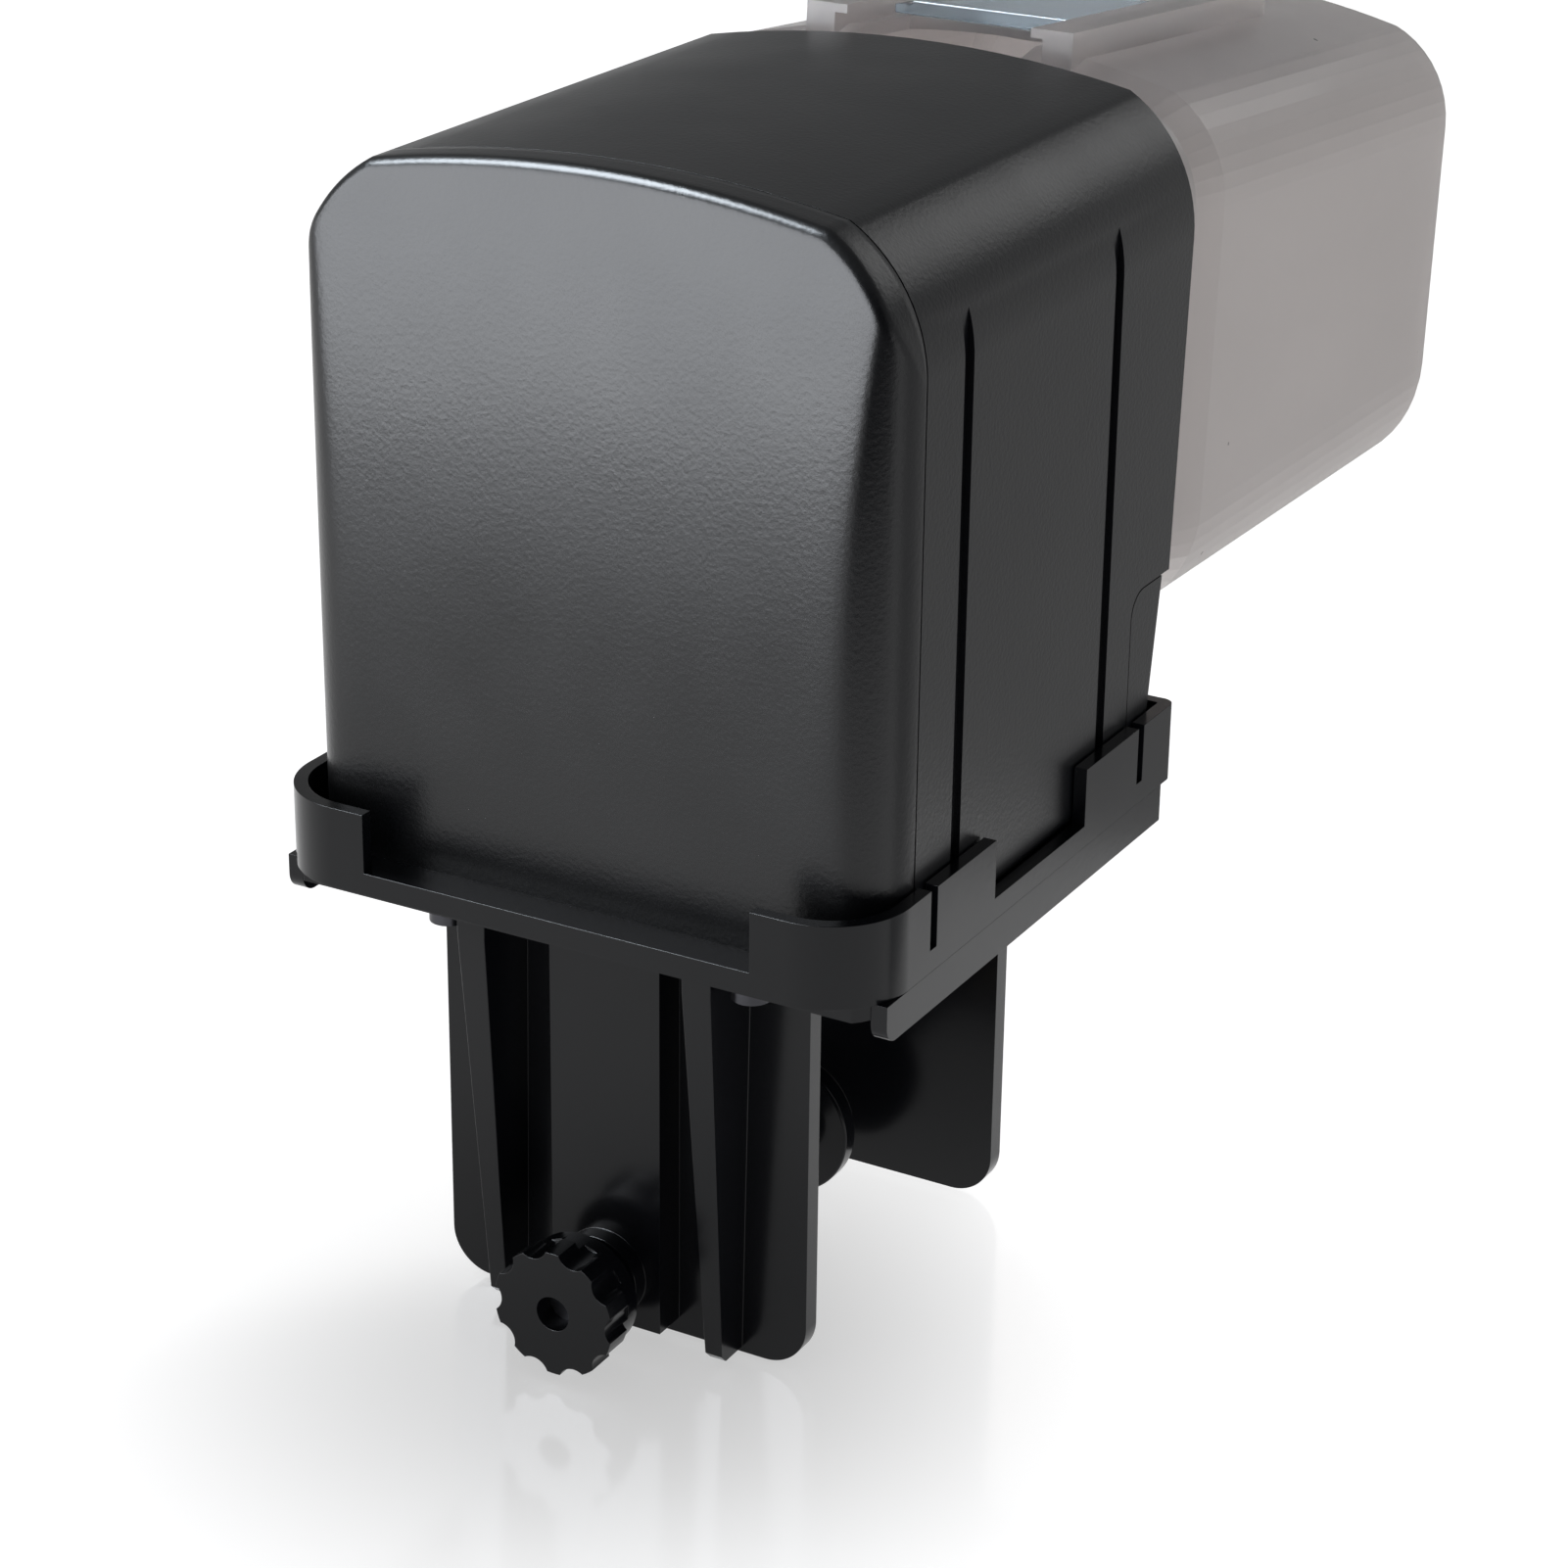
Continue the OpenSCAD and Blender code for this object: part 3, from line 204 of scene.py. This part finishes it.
LOOKS = {  # one for each material slot
    "black_shell": moulded("black_shell", (0.0045, 0.0048, 0.0062), 0.3, 0.38 * MM, 0.017 * MM,
                           specular_ior_level=0.36),
    "bracket_black": moulded("bracket_black", (0.0036, 0.0040, 0.0054), 0.2, 0.9 * MM, 0.003 * MM,
                             specular_ior_level=0.24),
    "smoke_clear": clear_plastic("smoke_clear", (0.68, 0.635, 0.62), 0.26, 0.45),
    "shutter_clear": clear_plastic("shutter_clear", (0.66, 0.73, 0.78), 0.14, 0.7),
    "soft_black": moulded("soft_black", (0.02, 0.02, 0.02), 0.75, 0.6 * MM, 0.05 * MM),
    "steel": metal("steel", (0.62, 0.62, 0.64), 0.28),
    "brass": metal("brass", (0.78, 0.6, 0.3), 0.3),
    "gear_white": moulded("gear_white", (0.8, 0.79, 0.73), 0.42, 0.5 * MM, 0.01 * MM, 0.05),
    "frame_grey": moulded("frame_grey", (0.09, 0.09, 0.1), 0.5, 0.4 * MM, 0.02 * MM),
    "cam_orange": moulded("cam_orange", (0.75, 0.32, 0.06), 0.42, 0.5 * MM, 0.01 * MM, 0.08),
    "cell_wrap": moulded("cell_wrap", (0.6, 0.42, 0.14), 0.32, 2 * MM, 0.01 * MM, 0.06),
    "board_green": moulded("board_green", (0.03, 0.16, 0.06), 0.35, 0.8 * MM, 0.01 * MM),
    "panel_grey": moulded("panel_grey", (0.03, 0.031, 0.034), 0.42, 0.4 * MM, 0.015 * MM),
    "button_grey": moulded("button_grey", (0.2, 0.205, 0.22), 0.45, 0.4 * MM, 0.01 * MM, 0.05),
    "window_clear": clear_plastic("window_clear", (0.75, 0.79, 0.79), 0.06, 0.8),
    "lcd": moulded("lcd", (0.17, 0.21, 0.165), 0.45, 1 * MM, 0.004 * MM, 0.04),
}
SCREW_BLACK = metal("screw_black", (0.05, 0.05, 0.055), 0.32)


# ---------- surfaces ----------

def bake(piece):
    """Applies the modifiers of a piece and returns its new mesh."""
    bpy.context.view_layer.update()
    solid = piece.evaluated_get(bpy.context.evaluated_depsgraph_get())
    baked = bpy.data.meshes.new_from_object(solid)
    piece.modifiers.clear()
    piece.data = baked
    return baked


def put_for(piece, node):
    """Shows a piece in place of its CAD node, on the same body and with the same slot's material."""
    piece.data.materials.clear()
    piece.data.materials.append(LOOKS[SLOT_OF[node]])
    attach(piece, BODY_OF[node])
    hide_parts(node)


def dress(node, bevel):
    """Shows a CAD node as a copy whose edges are rounded, with its slot's material."""
    mesh = NODES[node].data.copy()
    piece = add(node + "_skin", mesh)
    bm = bmesh.new()
    bm.from_mesh(mesh)
    bmesh.ops.remove_doubles(bm, verts=bm.verts, dist=0.002 * MM)
    bmesh.ops.dissolve_limit(bm, angle_limit=math.radians(0.6), verts=bm.verts, edges=bm.edges,
                             delimit={"MATERIAL"})
    bm.to_mesh(mesh)
    bm.free()
    edge = piece.modifiers.new("edge", "BEVEL")
    edge.width = bevel
    edge.segments = 3
    edge.limit_method = "ANGLE"
    edge.angle_limit = math.radians(28)
    edge.miter_outer = "MITER_ARC"
    edge.use_clamp_overlap = True
    piece.modifiers.new("normals", "WEIGHTED_NORMAL").keep_sharp = True
    for face in mesh.polygons:
        face.use_smooth = True
    mesh.set_sharp_from_angle(angle=math.radians(40))
    bake(piece)
    put_for(piece, node)


# The front cover, in millimetres.
ROOF_R = 140            # radius of the arched roof
SHOULDER_R = 17         # radius of the shoulders
SHOULDER_DROP = 17.2    # from the crown of the roof down to the shoulders' centres
FOOT_R = 2              # radius of the bottom corners of the section
BOW_R = 300             # radius of the bow of the face
BOW_SHARE = 0.36        # height of the furthest point of the bow, as a share of the cover's height
CORNER_R = 7.9          # radius of the upright corners between face and sides
CORNER_LEAD = 0.6       # how far the corners' own depth is held back on the flat of the face
BLEND = 1.0             # width over which the bow and the corners blend
BLEND_SINK = 0.2        # lets the blended face touch the front of the box
EDGE_R = 1.2            # how far the top edge is broken
FOOT_FADE = 20          # height over which the bottom inset fades out
WALL = 1.8
SEAM_LIP = 0.25         # small step at the seam towards the housing
SEAM_GAP = 0.35         # the least depth of the sides before the seam
INSET_STEPS = 16
SHRINKS = (0.97, 0.93, 0.88, 0.82, 0.75, 0.67, 0.58, 0.48, 0.37, 0.25, 0.13, 0.05)


def arch(half, low, top):
    """Points round the arched section of the body, each with its outward normal, from under the middle
    up the right side and back down the left."""
    cx, cz, rz = half - SHOULDER_R, top - SHOULDER_DROP, top - ROOF_R
    far = math.hypot(cx, cz - rz)
    along = (ROOF_R ** 2 - SHOULDER_R ** 2 + far ** 2) / (2 * far)
    aside = math.sqrt(ROOF_R ** 2 - along ** 2)
    ux, uz = cx / far, (cz - rz) / far
    crease = (ux * along + uz * aside, rz + uz * along - ux * aside)
    steep = math.atan2(crease[1] - cz, crease[0] - cx)
    lean = math.atan2(crease[0], crease[1] - rz)
    foot_x, foot_z = half - FOOT_R, low + FOOT_R
    bottom, turn, side, shoulder, roof = 8, 5, 28, 28, 24  # steps on each stretch
    right = [(foot_x * i / bottom, low, 0, -1) for i in range(bottom)]
    for i in range(turn + 1):
        a = -math.pi / 2 + math.pi / 2 * i / turn
        right.append((foot_x + FOOT_R * math.cos(a), foot_z + FOOT_R * math.sin(a),
                      math.cos(a), math.sin(a)))
    for i in range(1, side):
        right.append((half, foot_z + (cz - low - FOOT_R) * i / side, 1, 0))
    for i in range(shoulder + 1):
        a = steep * i / shoulder
        right.append((cx + SHOULDER_R * math.cos(a), cz + SHOULDER_R * math.sin(a),
                      math.cos(a), math.sin(a)))
    for i in range(1, roof + 1):
        a = lean * (1 - i / roof)
        right.append((ROOF_R * math.sin(a), rz + ROOF_R * math.cos(a), math.sin(a), math.cos(a)))
    left = [(-x, z, -nx, nz) for x, z, nx, nz in right[1:-1]]
    return right + left[::-1]


def mean_normal(ring, n, reach=5):
    """Direction of the mean normal of a ring's points round point n."""
    around = [ring[(n + k) % len(ring)] for k in range(-reach, reach + 1)]
    x, z = sum(p[2] for p in around), sum(p[3] for p in around)
    return x / math.hypot(x, z), z / math.hypot(x, z)


def lofted_cover(node):
    """The front cover as one smooth form with a real wall: a bowed face with upright round corners
    inside the arched section, whose top edge is softly broken."""
    low, high = (Vector(c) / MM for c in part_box(node))
    half, front, seam = high.x, low.y, high.y
    bow_z = low.z + BOW_SHARE * (high.z - low.z)

    def face(x, z):
        """Depth of the face: its bow in height and its round corners, blended."""
        bow = BOW_R - math.sqrt(BOW_R ** 2 - (z - bow_z) ** 2)
        out = min(max(abs(x) - (half - CORNER_R), 0), CORNER_R)
        turn = CORNER_R - math.sqrt(CORNER_R ** 2 - out ** 2) - CORNER_LEAD * (1 - out / CORNER_R)
        return front + 0.5 * (bow + turn + math.sqrt((bow - turn) ** 2 + BLEND ** 2)) - BLEND_SINK

    # Each row runs from the seam forward along the side and then inward over the face.
    ring = arch(half, low.z, high.z)
    count = len(ring)
    insets = [CORNER_R * (1 - math.cos(math.pi / 2 * i / INSET_STEPS)) for i in range(INSET_STEPS + 1)]
    rows = []
    for n, (x, z, nx, nz) in enumerate(ring):
        if nz > 0:
            nx, nz = mean_normal(ring, n)
        foot = min(max(1 - (z - low.z - FOOT_R) / FOOT_FADE, 0), 1)
        break_r = EDGE_R * min(max((nz - 0.05) / 0.5, 0), 1)
        path = []
        for k in insets:
            if nz < -0.999:
                px, pz = x - k * x / (half - FOOT_R), z + k
            elif nz <= 0:
                px, pz = x - math.copysign(k, x), z + k * foot
            else:
                px, pz = x - nx * k, z - nz * k
            y = face(px, pz)
            if k < break_r:
                y += break_r - math.sqrt(break_r ** 2 - (break_r - k) ** 2)
            path.append((px, min(y, seam - SEAM_GAP), pz))
        top = path[0][1]
        lip = seam - SEAM_LIP
        row = [(x - nx * SEAM_LIP, seam, z - nz * SEAM_LIP), (x, lip, z)]
        row += [(x, lip + (top - lip) * i / 4, z) for i in range(1, 4)]
        rows.append(row + path)

    # The rows' inner ends shrink to the middle of the face.
    depth = len(rows[0])
    verts = [p for row in rows for p in row]
    middle = (low.z + high.z) / 2
    for k in SHRINKS:
        for x, _, z in (row[-1] for row in rows):
            z2 = middle + (z - middle) * k
            verts.append((x * k, face(x * k, z2), z2))
    verts.append((0.0, face(0, middle), middle))

    faces = []
    for i in range(count):
        j = (i + 1) % count
        for k in range(depth - 1):
            faces.append((i * depth + k, i * depth + k + 1, j * depth + k + 1, j * depth + k))
    loops = [[i * depth + depth - 1 for i in range(count)]]
    loops += [[count * depth + n * count + i for i in range(count)] for n in range(len(SHRINKS))]
    for a, b in zip(loops, loops[1:]):
        faces += [(a[i], b[i], b[(i + 1) % count], a[(i + 1) % count]) for i in range(count)]
    last, tip = loops[-1], len(verts) - 1
    faces += [(last[i], tip, last[(i + 1) % count]) for i in range(count)]

    mesh = bpy.data.meshes.new(node + "_form")
    mesh.from_pydata([tuple(c * MM for c in v) for v in verts], [], faces)
    bm = bmesh.new()
    bm.from_mesh(mesh)
    bmesh.ops.remove_doubles(bm, verts=bm.verts, dist=0.001 * MM)
    bmesh.ops.recalc_face_normals(bm, faces=bm.faces)
    foremost = min(bm.faces, key=lambda f: f.calc_center_median().y)
    if foremost.normal.y > 0:
        bmesh.ops.reverse_faces(bm, faces=bm.faces)
    bm.to_mesh(mesh)
    bm.free()
    piece = add(node + "_form", mesh)
    wall = piece.modifiers.new("wall", "SOLIDIFY")
    wall.thickness = WALL * MM
    wall.offset = -1
    wall.use_even_offset = False
    baked = bake(piece)
    for poly in baked.polygons:
        poly.use_smooth = True
    baked.set_sharp_from_angle(angle=math.radians(50))
    put_for(piece, node)


for name, obj in NODES.items():
    if name == "end_cover":
        lofted_cover(name)
    elif name in ROUNDED:
        dress(name, ROUNDED[name] * MM)
    else:
        obj.data.materials.clear()
        obj.data.materials.append(SCREW_BLACK if name in BLACKENED else LOOKS[SLOT_OF[name]])


# ---------- stage, lights and camera ----------

def floor(level, size=6.0):
    """A white sweep with a faint gloss that mirrors the feet of the object and fades out around it."""
    mesh = bpy.data.meshes.new("floor")
    corners = [(x * size, y * size, level) for x, y in ((-1, -1), (1, -1), (1, 1), (-1, 1))]
    mesh.from_pydata(corners, [], [(0, 1, 2, 3)])
    piece = add("floor", mesh)
    look = Look("floor")
    look.colour(look.tint(look.noise(0.4, 2), (0.86, 0.86, 0.87), (0.88, 0.88, 0.89)))
    look.set(roughness=0.5, emission_color=(1.0, 1.0, 1.0), emission_strength=0.93,
             specular_ior_level=0.0)
    gloss = look.tree.nodes.new("ShaderNodeBsdfGlossy")
    gloss.inputs["Roughness"].default_value = 0.12
    away = look.tree.nodes.new("ShaderNodeVectorMath")
    away.operation = "DISTANCE"
    away.inputs[1].default_value = (0, -50 * MM, level)
    look.link(look.coord.outputs["Object"], away.inputs[0])
    near = look.spread(away.outputs["Value"], 0.45, 0.0, 10 * MM, 75 * MM)
    mix = look.tree.nodes.new("ShaderNodeMixShader")
    look.link(near, mix.inputs["Fac"])
    look.link(look.shader.outputs["BSDF"], mix.inputs[1])
    look.link(gloss.outputs["BSDF"], mix.inputs[2])
    look.link(mix.outputs["Shader"], look.tree.nodes["Material Output"].inputs["Surface"])
    mesh.materials.append(look.mat)
    return piece


def card(name, start, end, distance, low, high, glow=0.0, backdrop=False):
    """A cloth on an arc round the object, from one azimuth to another: black, or white where it glows.
    Only gloss sees it, or as a backdrop only the eye does."""
    steps = 48
    verts = []
    for i in range(steps + 1):
        a = math.radians(start + (end - start) * i / steps)
        verts += [(distance * math.cos(a), distance * math.sin(a), z) for z in (low, high)]
    faces = [(2 * i, 2 * i + 2, 2 * i + 3, 2 * i + 1) for i in range(steps)]
    mesh = bpy.data.meshes.new(name)
    mesh.from_pydata(verts, [], faces)
    piece = add(name, mesh)
    look = Look(name)
    look.colour(look.tint(look.noise(2 * MM, 2), (0.002, 0.002, 0.002), (0.004, 0.004, 0.004)))
    look.set(roughness=1.0, specular_ior_level=0.0, emission_color=(1.0, 1.0, 1.0),
             emission_strength=glow)
    mesh.materials.append(look.mat)
    piece.visible_camera = backdrop
    piece.visible_glossy = not backdrop
    piece.visible_transmission = backdrop
    piece.visible_diffuse = False
    piece.visible_shadow = False


def softbox(name, place, target, width, height, power, colour, spared):
    """A soft rectangular lamp that only gloss sees, and that leaves one object unlit."""
    light = bpy.data.lights.new(name, "AREA")
    light.shape = "RECTANGLE"
    light.size = width
    light.size_y = height
    light.energy = power
    light.color = colour
    lamp = bpy.data.objects.new(name, light)
    lamp.location = place
    lamp.rotation_euler = (Vector(target) - Vector(place)).to_track_quat("-Z", "Y").to_euler()
    lamp.visible_camera = False
    lamp.visible_diffuse = False
    bpy.context.scene.collection.objects.link(lamp)
    unlit = bpy.data.collections.new(name + "_spares")
    unlit.objects.link(spared)
    unlit.collection_objects[0].light_linking.link_state = "EXCLUDE"
    lamp.light_linking.receiver_collection = unlit


def sky(colour, strength):
    """Even light from all round."""
    world = bpy.data.worlds.new("studio")
    world.use_nodes = True
    back = world.node_tree.nodes["Background"]
    back.inputs["Color"].default_value = (*colour, 1)
    back.inputs["Strength"].default_value = strength
    bpy.context.scene.world = world


def camera(place, azimuth, elevation, roll, lens):
    """Camera that looks along azimuth (from +Y, turned towards -X) and down by elevation, in degrees,
    with the lens in millimetres."""
    az, el, turn = (math.radians(a) for a in (azimuth, elevation, roll))
    ahead = Vector((-math.sin(az) * math.cos(el), math.cos(az) * math.cos(el), -math.sin(el)))
    right = ahead.cross(Vector((0, 0, 1))).normalized()
    down = ahead.cross(right)
    across = right * math.cos(turn) + down * math.sin(turn)
    up = right * math.sin(turn) - down * math.cos(turn)
    data = bpy.data.cameras.new("camera")
    data.sensor_width = 36
    data.lens = lens
    data.clip_start = 0.01
    lens_obj = bpy.data.objects.new("camera", data)
    turn_matrix = Matrix((across, up, -ahead)).transposed().to_4x4()
    lens_obj.matrix_world = Matrix.Translation(place) @ turn_matrix
    bpy.context.scene.collection.objects.link(lens_obj)
    bpy.context.scene.camera = lens_obj


bpy.context.scene.view_settings.view_transform = "Standard"
sole = cad_box[0][2]
foot = sole + 1 * MM
ground = floor(sole - 0.1 * MM)
sky((0.97, 0.985, 1.0), 0.24)
softbox("front_left", place=(-0.215, -0.40, 0.115), target=(0, -0.05, 0.04), width=0.6, height=0.3,
        power=5.2, colour=(0.92, 0.95, 1.0), spared=ground)
softbox("edge_light", place=(-0.35, -0.25, 0.6), target=(0, 0, 0.03), width=0.35, height=0.35,
        power=14.0, colour=(0.84, 0.92, 1.0), spared=ground)
softbox("back_light", place=(0.28, 0.75, 0.45), target=(0, 0, 0.06), width=0.35, height=0.35,
        power=0.5, colour=(1.0, 1.0, 1.0), spared=ground)
card("front_card", start=-72, end=-8, distance=0.32, low=foot, high=0.3)
card("side_card", start=-8, end=95, distance=0.125, low=foot, high=0.09, glow=0.45)
card("back_card", start=95, end=225, distance=0.2, low=foot, high=0.08, glow=1.0)
card("backdrop", start=0, end=360, distance=5.5, low=foot, high=4.0, glow=1.0, backdrop=True)
camera((194.64 * MM, -358.67 * MM, 175.35 * MM), azimuth=29.151, elevation=23.167, roll=-0.681,
       lens=89.466)
